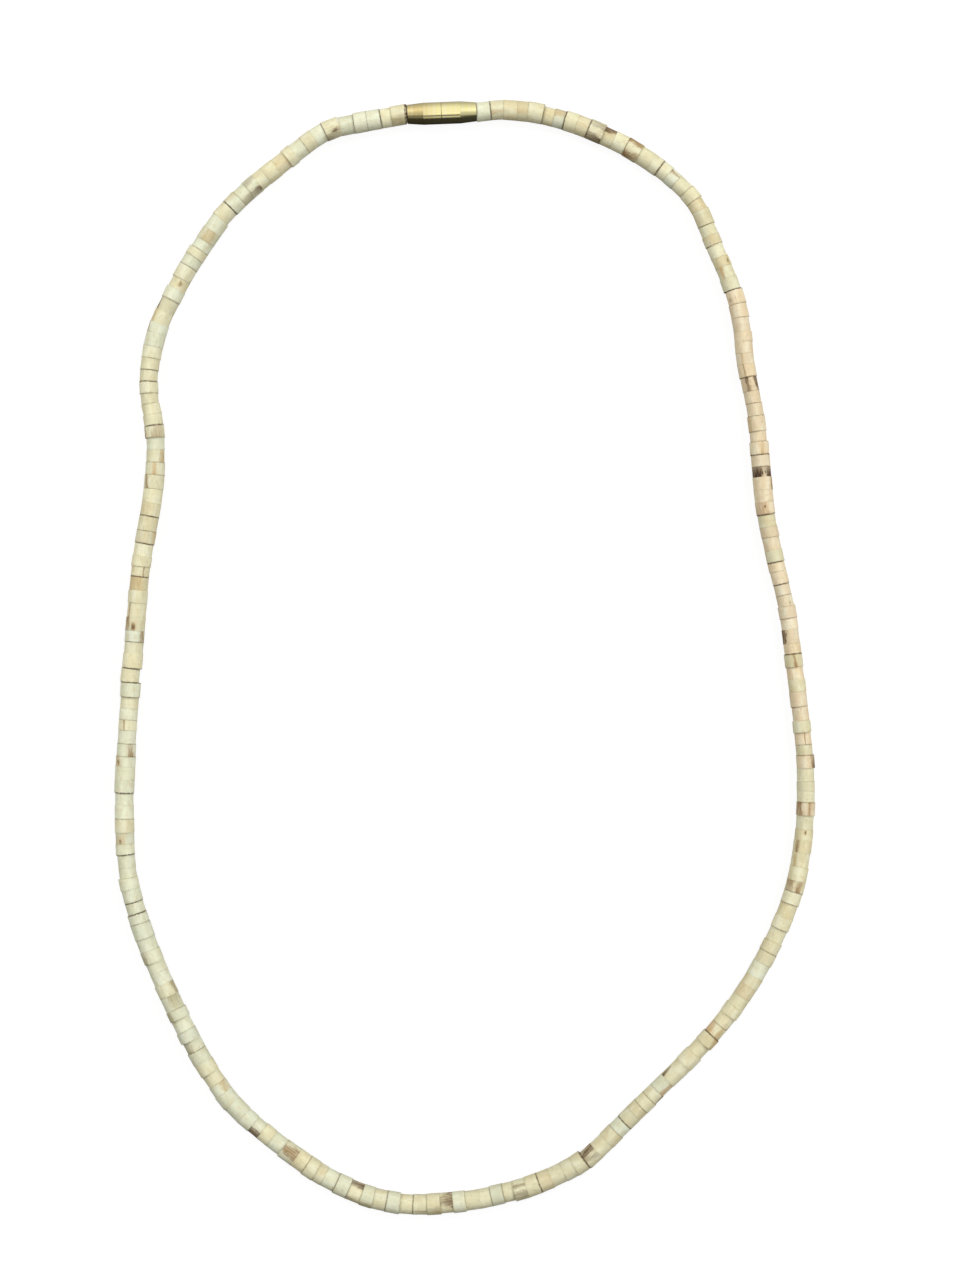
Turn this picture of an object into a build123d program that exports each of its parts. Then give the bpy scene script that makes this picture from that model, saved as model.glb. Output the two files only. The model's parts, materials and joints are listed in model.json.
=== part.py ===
from build123d import *
from collections import namedtuple
from math import atan2, cos, degrees, pi, radians, sin, tan
import os
import random

# A necklace of short turned tulsi wood beads on one thread, closed by a brass screw barrel, laid flat.
# Millimetres. +Z is up from the surface it lies on, +Y points to the clasp, and the origin is on that
# surface in the middle of the loop.
os.makedirs("parts", exist_ok=True)

# Beads: no two are alike, so each is a little off the usual size, place and slant (degrees)
BEAD_DIA = 3.45
BEAD_DIA_OFF = 0.22
BEAD_LENGTH = 2.12
BEAD_SHORTER = 0.70
BEAD_LONGER = 0.60
BEAD_RIM = 0.10
BEAD_GAP = 0.12
BEAD_SLANT = 0.8
BEAD_SEED = 11
SHARING_ROUNDS = 3

# Thread, and the play that it has all round in the beads' bores
THREAD_DIA = 0.50
BORE_PLAY = 0.38
KNOT_DIA = 1.20
KNOT_LENGTH = 1.00
KNOT_EASE = 0.30

# Clasp: a barrel in two halves, each a straight stretch and a tapered end
BARREL_DIA = 3.90
BARREL_END_DIA = 3.35
SCREW_STRAIGHT = 3.40
SCREW_TAPER = 2.95
SOCKET_STRAIGHT = 3.25
SOCKET_TAPER = 2.90
END_WALL = 0.70
END_HOLE_PLAY = 0.12
END_EASE = 0.12
SEAM_GAP = 0.06
SEAM_EASE = 0.08
STUD_DIA = 2.30
STUD_LENGTH = 2.20
STUD_PLAY = 0.06
STUD_TIP_ROOM = 0.40
KNOT_ROOM = 0.15
CLASP_GAP = 0.20

# How far beads may shift across the thread and be lifted by it, as shares of BORE_PLAY
SHIFT_SHARE = 0.15
LIFT_SHARE = 0.50

# How much of the shorter run beside it a corner of the thread's line takes up with its round
CORNER_SHARE = 0.45

# Where the clasp lies, and its slope in degrees across the top of the loop
CLASP_X = -4.2
CLASP_Y = 97.9
CLASP_HEADING = 2.2

# How the string lies: points chosen along it, from the clasp's screw half round to its socket half
ROUTE = [
    (6.5, 98.6), (12.0, 98.2), (20.4, 96.0), (29.1, 92.1), (36.4, 87.2), (41.7, 82.1), (44.9, 74.2),
    (47.8, 67.6), (49.9, 60.3), (50.5, 53.1), (52.4, 44.2), (53.2, 35.5), (54.0, 26.3), (56.1, 16.6),
    (58.2, 8.1), (59.4, -2.0), (60.6, -11.0), (61.5, -20.5), (61.3, -29.8), (60.1, -39.2),
    (57.3, -47.8), (52.4, -57.4), (46.3, -66.1), (39.0, -73.7), (29.8, -82.7), (21.7, -90.8),
    (12.2, -95.3), (1.0, -97.9), (-9.8, -98.7), (-17.6, -97.1), (-25.6, -93.4), (-34.5, -86.9),
    (-41.7, -80.9), (-47.8, -71.9), (-53.1, -61.1), (-57.4, -51.3), (-60.9, -39.7), (-61.4, -27.5),
    (-61.1, -18.9), (-60.6, -11.3), (-59.5, 3.1), (-58.3, 17.1), (-55.9, 30.1), (-55.5, 39.1),
    (-57.3, 49.0), (-55.6, 59.0), (-49.7, 70.6), (-42.2, 81.3), (-33.2, 88.8), (-25.1, 95.0),
    (-17.7, 96.5),
]

# The beads are graded by eye: place is a share of the string's length, girth a share of BEAD_DIA
Stretch = namedtuple("Stretch", ["place", "girth"])
STRETCHES = [
    Stretch(place=0.00, girth=1.00),
    Stretch(place=0.05, girth=1.03),
    Stretch(place=0.09, girth=0.90),
    Stretch(place=0.16, girth=0.91),
    Stretch(place=0.19, girth=1.00),
    Stretch(place=0.22, girth=0.89),
    Stretch(place=0.27, girth=0.92),
    Stretch(place=0.31, girth=0.97),
    Stretch(place=0.42, girth=0.98),
    Stretch(place=0.46, girth=1.06),
    Stretch(place=0.55, girth=1.10),
    Stretch(place=0.58, girth=1.00),
    Stretch(place=0.62, girth=1.08),
    Stretch(place=0.65, girth=1.06),
    Stretch(place=0.68, girth=0.98),
    Stretch(place=0.79, girth=1.03),
    Stretch(place=0.86, girth=0.97),
    Stretch(place=0.92, girth=1.06),
    Stretch(place=0.95, girth=1.01),
    Stretch(place=1.00, girth=1.08),
]

# Beads that sit askew: shift is a share of BORE_PLAY towards the outside of the loop, slant in degrees
Askew = namedtuple("Askew", ["place", "shift", "slant"])
ASKEW = [
    Askew(place=0.122, shift=0.5, slant=0.0),
    Askew(place=0.456, shift=0.3, slant=4.0),
    Askew(place=0.755, shift=0.7, slant=-2.0),
    Askew(place=0.848, shift=-0.3, slant=4.0),
    Askew(place=0.928, shift=0.4, slant=-3.0),
]

THREAD_R = THREAD_DIA / 2
BORE_R = THREAD_R + BORE_PLAY
BARREL_R = BARREL_DIA / 2
BARREL_END_R = BARREL_END_DIA / 2
STUD_R = STUD_DIA / 2
KNOT_R = KNOT_DIA / 2
END_HOLE_R = THREAD_R + END_HOLE_PLAY
KNOT_BORE_R = KNOT_R + KNOT_ROOM
SCREW_LENGTH = SCREW_STRAIGHT + SCREW_TAPER
SOCKET_LENGTH = SOCKET_STRAIGHT + SOCKET_TAPER

# The clasp's own plane: its x runs along the barrel from the socket to the screw half, its y is up
heading = Vector(cos(radians(CLASP_HEADING)), sin(radians(CLASP_HEADING)), 0)
clasp_middle = Vector(CLASP_X, CLASP_Y, BARREL_R)
clasp_plane = Plane(origin=clasp_middle, x_dir=heading, z_dir=heading.cross(Vector(0, 0, 1)))
barrel_axis = Axis(clasp_middle, heading)


def girth_at(place):
    """How thick the beads are at a share of the string's length, as a share of BEAD_DIA."""
    for before, after in zip(STRETCHES, STRETCHES[1:]):
        if place <= after.place:
            part_way = (place - before.place) / (after.place - before.place)
            return before.girth + (after.girth - before.girth) * part_way
    return STRETCHES[-1].girth


def resting_route():
    """The route's points at the height of the bores of beads that all rest on the surface."""
    flat = [Vector(x, y) for x, y in ROUTE]
    runs = [(after - before).length for before, after in zip(flat, flat[1:])]
    places = [sum(runs[:count]) / sum(runs) for count in range(len(flat))]
    return [Vector(p.X, p.Y, BEAD_DIA / 2 * girth_at(place)) for p, place in zip(flat, places)]


def corner_turns(points):
    """How far the line through the points turns at each corner, in radians."""
    corners = zip(points, points[1:], points[2:])
    return [radians((corner - before).get_angle(after - corner)) for before, corner, after in corners]


def corner_radii(points):
    """The radius at each corner: a share of the shorter run, divided by the tangent of half the turn."""
    runs = [(after - before).length for before, after in zip(points, points[1:])]
    shorter = [min(run_in, run_out) for run_in, run_out in zip(runs, runs[1:])]
    return [CORNER_SHARE * run / tan(turn / 2) for run, turn in zip(shorter, corner_turns(points))]


# The thread's line: from a knot in the screw half, out of its end, round the loop and into the socket
screw_end = clasp_middle + heading * SCREW_LENGTH
socket_end = clasp_middle - heading * SOCKET_LENGTH
knot_depth = END_WALL + KNOT_ROOM + KNOT_LENGTH / 2
lead_out = CLASP_GAP + BEAD_LENGTH / 4
thread_points = [
    screw_end - heading * knot_depth,
    screw_end + heading * lead_out,
    *resting_route(),
    socket_end - heading * lead_out,
    socket_end + heading * knot_depth,
]
thread_radii = corner_radii(thread_points)
with BuildLine() as thread_line:
    FilletPolyline(*thread_points, radius=thread_radii)
thread_path = thread_line.wire()
print("corner radii", [round(radius, 1) for radius in thread_radii])
print("thread length", round(thread_path.length, 1))


# One round thread with a plump knot at each end
first_end = Plane(origin=thread_path @ 0, z_dir=thread_path % 0)
last_end = Plane(origin=thread_path @ 1, z_dir=thread_path % 1)
with BuildPart() as thread:
    with BuildSketch(first_end.offset(-KNOT_LENGTH / 2), last_end.offset(-KNOT_LENGTH / 2)):
        Circle(KNOT_R)
    extrude(amount=KNOT_LENGTH)
    fillet(thread.edges().filter_by(GeomType.CIRCLE), KNOT_EASE)
    with BuildSketch(first_end):
        Circle(THREAD_R)
    sweep(path=thread_path)
thread.part.label = "thread"
export_step(thread.part, "parts/thread.step")


Blank = namedtuple("Blank", ["length", "wider", "slant", "shift"])
Bead = namedtuple("Bead", ["middle", "heading", "radius", "length"])


def place_on_thread(distance):
    """The point of the thread that lies a distance along it."""
    return thread_path.position_at(distance, position_mode=PositionMode.LENGTH)


def heading_on_thread(distance):
    """The thread's level heading at a distance along it, in degrees."""
    way = thread_path.tangent_at(distance, position_mode=PositionMode.LENGTH)
    return degrees(atan2(way.Y, way.X))


def turn_between(first, second):
    """The angle between two headings in degrees, as a number of radians."""
    return radians(abs((second - first + 180) % 360 - 180))


def askew_at(place, half_pitch):
    """The row of ASKEW for the bead at a place, or none."""
    for row in ASKEW:
        if abs(row.place - place) <= half_pitch:
            return row
    return None


def turned_blanks():
    """Beads as they come from the lathe, enough to fill the thread: each one's length and oddities."""
    rng = random.Random(BEAD_SEED)
    bends = sum(corner_turns(thread_points)) * BEAD_DIA / 2
    room = thread_path.length - 2 * (knot_depth + CLASP_GAP) - bends
    pitch = BEAD_LENGTH + (BEAD_LONGER - BEAD_SHORTER) / 3 + BEAD_GAP
    blanks = []
    for _ in range(round(room / pitch)):
        length = rng.triangular(BEAD_LENGTH - BEAD_SHORTER, BEAD_LENGTH + BEAD_LONGER, BEAD_LENGTH)
        wider, slant, shift = rng.uniform(-1, 1), rng.uniform(-1, 1), rng.uniform(-1, 1)
        blanks.append(Blank(length, wider * BEAD_DIA_OFF, slant * BEAD_SLANT, shift * SHIFT_SHARE))
    return blanks


def strung(blanks, stretch):
    """The beads laid one after another along the thread, and the room left before the socket half."""
    beads = []
    end, gap, heading_before, radius_before = knot_depth, CLASP_GAP, CLASP_HEADING, BARREL_END_R
    for index, blank in enumerate(blanks):
        place = (index + 0.5) / len(blanks)
        askew = askew_at(place, 0.5 / len(blanks))
        shift = askew.shift if askew else blank.shift
        slant = askew.slant if askew else blank.slant
        length = blank.length * stretch
        radius = (BEAD_DIA * girth_at(place) + blank.wider) / 2
        middle = end + gap + length / 2
        heading_now = heading_on_thread(middle) + slant
        middle += turn_between(heading_before, heading_now) * max(radius, radius_before)
        on_thread = place_on_thread(middle)
        way = radians(heading_now)
        outside = Vector(-sin(way), cos(way), 0) * shift * BORE_PLAY
        height = max(radius, on_thread.Z - LIFT_SHARE * BORE_PLAY)
        beads.append(Bead(Vector(on_thread.X, on_thread.Y, height) + outside, heading_now, radius, length))
        end, gap, heading_before, radius_before = middle + length / 2, BEAD_GAP, heading_now, radius
    last_gap = CLASP_GAP + turn_between(heading_before, CLASP_HEADING) * max(radius_before, BARREL_END_R)
    return beads, thread_path.length - knot_depth - last_gap - end


def string_of_beads():
    """Every bead in order. What room the drawn lengths leave is shared out among them, round after round."""
    blanks = turned_blanks()
    drawn = sum(blank.length for blank in blanks)
    stretch = 1
    for _ in range(SHARING_ROUNDS):
        stretch += strung(blanks, stretch)[1] / drawn
    beads, left = strung(blanks, stretch)
    print("beads", len(beads), "stretched by", round(stretch, 4), "room left over", round(left, 3))
    return beads


def turned_bead(bead):
    """A short straight cylinder with eased rims, drilled through its middle."""
    way = radians(bead.heading)
    face = Plane(origin=bead.middle, z_dir=(cos(way), sin(way), 0)).offset(-bead.length / 2)
    with BuildPart() as turned:
        with BuildSketch(face):
            Circle(bead.radius)
            Circle(BORE_R, mode=Mode.SUBTRACT)
        extrude(amount=bead.length)
        chamfer(turned.edges().filter_by(GeomType.CIRCLE).sort_by(SortBy.RADIUS)[-2:], BEAD_RIM)
    return turned.part


# The whole string of beads, loose on its thread
turned_beads = [turned_bead(bead) for bead in string_of_beads()]
with BuildPart() as bead_string:
    add(turned_beads)
bead_string.part.label = "bead_string"
export_step(bead_string.part, "parts/bead_string.step")


# The screw half: a drilled barrel end with a hollow stud, in whose bore the knot sits
screw_seam = SEAM_GAP / 2
with BuildPart() as clasp_screw:
    with BuildSketch(clasp_plane):
        with BuildLine():
            Polyline(
                (-STUD_LENGTH, KNOT_BORE_R),
                (-STUD_LENGTH, STUD_R),
                (screw_seam, STUD_R),
                (screw_seam, BARREL_R - SEAM_EASE),
                (screw_seam + SEAM_EASE, BARREL_R),
                (SCREW_STRAIGHT, BARREL_R),
                (SCREW_LENGTH - END_EASE, BARREL_END_R),
                (SCREW_LENGTH, BARREL_END_R - END_EASE),
                (SCREW_LENGTH, END_HOLE_R),
                (SCREW_LENGTH - END_WALL, END_HOLE_R),
                (SCREW_LENGTH - END_WALL, KNOT_BORE_R),
                close=True,
            )
        make_face()
    revolve(axis=barrel_axis)
clasp_screw.part.label = "clasp_screw"
export_step(clasp_screw.part, "parts/clasp_screw.step")


# The socket half: a drilled barrel end whose wide bore takes the stud
socket_seam = -SEAM_GAP / 2
socket_bore_r = STUD_R + STUD_PLAY
socket_floor = -STUD_LENGTH - STUD_TIP_ROOM
with BuildPart() as clasp_socket:
    with BuildSketch(clasp_plane):
        with BuildLine():
            Polyline(
                (socket_seam, socket_bore_r),
                (socket_seam, BARREL_R - SEAM_EASE),
                (socket_seam - SEAM_EASE, BARREL_R),
                (-SOCKET_STRAIGHT, BARREL_R),
                (-SOCKET_LENGTH + END_EASE, BARREL_END_R),
                (-SOCKET_LENGTH, BARREL_END_R - END_EASE),
                (-SOCKET_LENGTH, END_HOLE_R),
                (-SOCKET_LENGTH + END_WALL, END_HOLE_R),
                (-SOCKET_LENGTH + END_WALL, KNOT_BORE_R),
                (socket_floor, KNOT_BORE_R),
                (socket_floor, socket_bore_r),
                close=True,
            )
        make_face()
    revolve(axis=barrel_axis)
clasp_socket.part.label = "clasp_socket"
export_step(clasp_socket.part, "parts/clasp_socket.step")

swept = pi * THREAD_R ** 2 * thread_path.length
print("thread volume", round(thread.part.volume, 2), "of section times length", round(swept, 2))
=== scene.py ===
# %% [markdown]
# # A tulsi bead necklace, lying on a pale table
# The necklace is a string of short turned beads of tulsi wood, closed by a small brass screw barrel.
# The construction comes from the imported frame. This script gives every surface its look.
# The frame is loaded first.

# %% The frame
import json
import random
from collections import namedtuple
from math import atan2, cos, pi, radians, sin

import bpy
import numpy as np
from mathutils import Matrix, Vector

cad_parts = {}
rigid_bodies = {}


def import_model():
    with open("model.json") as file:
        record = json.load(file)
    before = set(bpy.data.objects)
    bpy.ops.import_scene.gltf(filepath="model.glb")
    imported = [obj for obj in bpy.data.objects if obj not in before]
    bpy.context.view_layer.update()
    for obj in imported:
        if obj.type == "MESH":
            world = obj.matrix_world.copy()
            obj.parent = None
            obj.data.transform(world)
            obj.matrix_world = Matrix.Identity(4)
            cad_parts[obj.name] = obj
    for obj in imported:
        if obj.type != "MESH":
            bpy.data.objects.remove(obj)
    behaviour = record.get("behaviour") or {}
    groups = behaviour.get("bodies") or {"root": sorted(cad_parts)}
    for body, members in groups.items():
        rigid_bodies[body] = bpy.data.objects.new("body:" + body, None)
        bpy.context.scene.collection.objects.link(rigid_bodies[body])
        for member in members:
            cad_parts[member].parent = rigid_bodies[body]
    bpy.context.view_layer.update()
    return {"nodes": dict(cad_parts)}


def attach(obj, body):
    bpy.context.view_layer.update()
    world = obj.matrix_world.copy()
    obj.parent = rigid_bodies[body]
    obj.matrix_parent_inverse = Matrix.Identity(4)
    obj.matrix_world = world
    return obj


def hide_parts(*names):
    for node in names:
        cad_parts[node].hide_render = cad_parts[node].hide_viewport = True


MM = 0.001

for leftover in list(bpy.data.objects):
    bpy.data.objects.remove(leftover)
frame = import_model()

# %% [markdown]
# ## Where each turned piece lies
# Every bead, and each half of the clasp, is a body of revolution on a level axis. So its place can be read
# back from the frame's own mesh: flat end faces give the direction of the axis, and the box along and
# across that axis gives the length and the radius. Nothing has to be measured or typed a second time.
# Vertices that lie in one place are counted as one, which leaves each bead as an island of its own.

# %% Islands of a mesh
Turned = namedtuple("Turned", ["middle", "along", "radius", "length"])
SAME_PLACE = 0.0001 * MM
UPRIGHT = 0.01      # the most that an upright face's normal rises, as a share of its length


def mesh_arrays(node):
    """The node's vertices, its triangles, and a number for each vertex that is the same for its island."""
    mesh = node.data
    mesh.calc_loop_triangles()
    points = np.empty(len(mesh.vertices) * 3)
    mesh.vertices.foreach_get("co", points)
    points = points.reshape(-1, 3)
    triangles = np.empty(len(mesh.loop_triangles) * 3, int)
    mesh.loop_triangles.foreach_get("vertices", triangles)
    triangles = triangles.reshape(-1, 3)
    place = np.unique(np.round(points / SAME_PLACE).astype(int), axis=0, return_inverse=True)[1].ravel()
    corners = place[triangles]
    island = np.arange(place.max() + 1)
    while True:
        lowest = island[corners].min(axis=1)
        spread = island.copy()
        np.minimum.at(spread, corners.ravel(), np.repeat(lowest, 3))
        if (spread == island).all():
            return points, triangles, island[place]
        island = spread


def turned_pieces(node):
    """The place of each body of revolution in a node, all with level axes."""
    points, triangles, island = mesh_arrays(node)
    edges_a = points[triangles[:, 1]] - points[triangles[:, 0]]
    edges_b = points[triangles[:, 2]] - points[triangles[:, 0]]
    normals = np.cross(edges_a, edges_b)
    areas = np.linalg.norm(normals, axis=1)
    upright = np.abs(normals[:, 2]) < UPRIGHT * areas
    found = []
    for label in np.unique(island):
        ends = normals[upright & (island[triangles[:, 0]] == label)]
        size = np.linalg.norm(ends, axis=1)
        x, y = ends[:, 0], ends[:, 1]
        turn = 0.5 * atan2((2 * x * y / size).sum(), ((x * x - y * y) / size).sum())
        along = np.array([cos(turn), sin(turn), 0])
        across = np.array([-sin(turn), cos(turn), 0])
        own = points[island == label]
        far, wide, high = own @ along, own @ across, own[:, 2]
        middle = along * (far.max() + far.min()) / 2 + across * (wide.max() + wide.min()) / 2
        middle[2] = (high.max() + high.min()) / 2
        found.append(Turned(middle, along, (high.max() - high.min()) / 2, far.max() - far.min()))
    return found


bead_places = turned_pieces(frame["nodes"]["bead_string"])
print("beads found", len(bead_places))

# %% [markdown]
# ## The beads in order
# Walking round the loop clockwise, seen from above, from the clasp's screw half to its socket half gives
# each bead its place on the string as a share of the string's length. The kinds of wood, the marks and the
# seams are charted by that share. Each bead gets a direction along the string and one to the loop's outside.

# %% Order along the string
Bead = namedtuple("Bead", ["middle", "along", "outside", "radius", "length", "place"])
UP = np.array([0.0, 0.0, 1.0])
screw_half = turned_pieces(frame["nodes"]["clasp_screw"])[0]
socket_half = turned_pieces(frame["nodes"]["clasp_socket"])[0]


def clockwise_angle(piece):
    """The angle from +Y round to the piece, clockwise as seen from above."""
    return atan2(piece.middle[0], piece.middle[1]) % (2 * pi)


def beads_in_order(places):
    """The beads from the screw half round to the socket half, each with its place along the string."""
    row = sorted(places, key=clockwise_angle)
    steps = [np.linalg.norm(after.middle - before.middle) for before, after in zip(row, row[1:])]
    lead = row[0].length / 2
    whole = lead + sum(steps) + row[-1].length / 2
    beads, walked = [], lead
    for piece, step in zip(row, steps + [0.0]):
        clockwise = np.array([piece.middle[1], -piece.middle[0], 0.0])
        along = piece.along * np.sign(piece.along @ clockwise)
        outside = np.cross(UP, along)
        beads.append(Bead(piece.middle, along, outside, piece.radius, piece.length, walked / whole))
        walked += step
    return beads


beads = beads_in_order(bead_places)
print("string length, mm", round(sum(np.linalg.norm(b.middle - a.middle)
                                     for a, b in zip(beads, beads[1:])) / MM, 1))
print("bead diameters, mm", round(2 * min(b.radius for b in beads) / MM, 2),
      "to", round(2 * max(b.radius for b in beads) / MM, 2))

# %% [markdown]
# ## Colour and node helpers
# Colours are written as sRGB hex, as a colour picker shows them, and Blender's shaders work with linear
# light, so one function turns the one into the other. One small function adds a node: what is named in
# its settings belongs to the node, and what is named in its inputs is a value, a hex colour, or a link if
# it is a socket or another node, which then gives its first output that is in use. Sockets that share a
# name go by number: a Mix has its share at 0 and its two colours at 6 and 7, a Map Range has the limits that
# it goes from at 1 and 2 and those that it goes to at 3 and 4, and a Math has its terms at 0 to 2. A
# material is made from a function that adds the nodes of its surface.

# %% Helpers for materials
# settings that many nodes share
SMOOTH = {"interpolation_type": "SMOOTHSTEP"}
COLOURS = {"data_type": "RGBA"}


def linear(hex_colour):
    """An sRGB hex colour as linear light."""
    shares = [int(hex_colour[at:at + 2], 16) / 255 for at in (1, 3, 5)]
    return [s / 12.92 if s <= 0.04045 else ((s + 0.055) / 1.055) ** 2.4 for s in shares]


def add_node(tree, kind, inputs=None, **settings):
    """Adds a shader node with its settings, and fills or links its inputs."""
    node = tree.nodes.new("ShaderNode" + kind)
    for name, value in settings.items():
        setattr(node, name, value)
    for name, value in (inputs or {}).items():
        if isinstance(value, bpy.types.Node):
            value = next(output for output in value.outputs if output.enabled)
        if isinstance(value, bpy.types.NodeSocket):
            tree.links.new(value, node.inputs[name])
        else:
            node.inputs[name].default_value = (*linear(value), 1.0) if isinstance(value, str) else value
    return node


def new_material(name, surface, *choices):
    """A material. The surface function adds nodes to its tree and gives the shader's inputs."""
    material = bpy.data.materials.new(name)
    material.use_nodes = True
    tree = material.node_tree
    tree.nodes.clear()
    shader = add_node(tree, "BsdfPrincipled", surface(tree, *choices))
    add_node(tree, "OutputMaterial", {"Surface": shader})
    return material


# %% [markdown]
# ## What the wood looks like, bead by bead
# Tulsi is holy basil. Its thin woody stems are sawn up and turned along the grain, so that each bead shows
# pale sapwood, often with a brown growth layer, a knot or a stain that runs along its axis. Beads from one
# stem don't lie together on the string, so neighbours differ: greenish white, cream, straw or peach.
# The kinds are mixed by weights that change along the string, because the string's right side is warmer.
# Tone says how bright the wood is there, which changes too.

# %% Kinds of wood
Wood = namedtuple("Wood", ["hue", "fibre_hue", "rings"])
KINDS = {
    # the wood's hue, the hue that its fibres darken to, and how much the tool's rings show
    "sapwood": Wood("#E0E1C5", "#C8C6A2", 0.20),
    "cream": Wood("#E2DDB9", "#CAC098", 0.18),
    "straw": Wood("#E0D8B1", "#C2B489", 0.22),
    "peach": Wood("#E6D6B4", "#CCB48F", 0.20),
}
Mixture = namedtuple("Mixture", ["place", "tone", "sapwood", "cream", "straw", "peach"])
MIXTURES = [Mixture(*row) for row in (
    # place, tone, sapwood, cream, straw, peach
    (0.000, 1.02, 1.00, 0.00, 0.00, 0.00),
    (0.006, 1.02, 0.20, 0.60, 0.20, 0.00),
    (0.060, 1.00, 0.05, 0.65, 0.30, 0.00),
    (0.105, 1.00, 0.00, 0.50, 0.45, 0.05),
    (0.125, 0.99, 0.00, 0.05, 0.10, 0.85),
    (0.260, 0.95, 0.00, 0.00, 0.10, 0.90),
    (0.290, 0.97, 0.00, 0.05, 0.45, 0.50),
    (0.320, 1.00, 0.00, 0.60, 0.40, 0.00),
    (0.380, 0.98, 0.10, 0.80, 0.10, 0.00),
    (0.450, 0.91, 0.15, 0.80, 0.05, 0.00),
    (0.530, 0.98, 0.35, 0.60, 0.05, 0.00),
    (0.620, 0.98, 0.90, 0.10, 0.00, 0.00),
    (0.740, 1.02, 0.70, 0.25, 0.05, 0.00),
    (0.800, 1.01, 0.25, 0.55, 0.20, 0.00),
    (0.880, 1.00, 0.20, 0.75, 0.05, 0.00),
    (0.995, 1.03, 0.45, 0.50, 0.05, 0.00),
    (1.000, 1.03, 0.00, 1.00, 0.00, 0.00),
)]


def mixture_at(place):
    """The row of MIXTURES for any place, worked out between the two rows beside it."""
    columns = np.array(MIXTURES)
    return Mixture(*[float(np.interp(place, columns[:, 0], column)) for column in columns.T])


SEED = 5
dice = random.Random(SEED)
bead_kinds = [dice.choices(list(KINDS), mixture_at(bead.place)[2:])[0] for bead in beads]
print("beads of each kind", {kind: bead_kinds.count(kind) for kind in KINDS})
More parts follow.
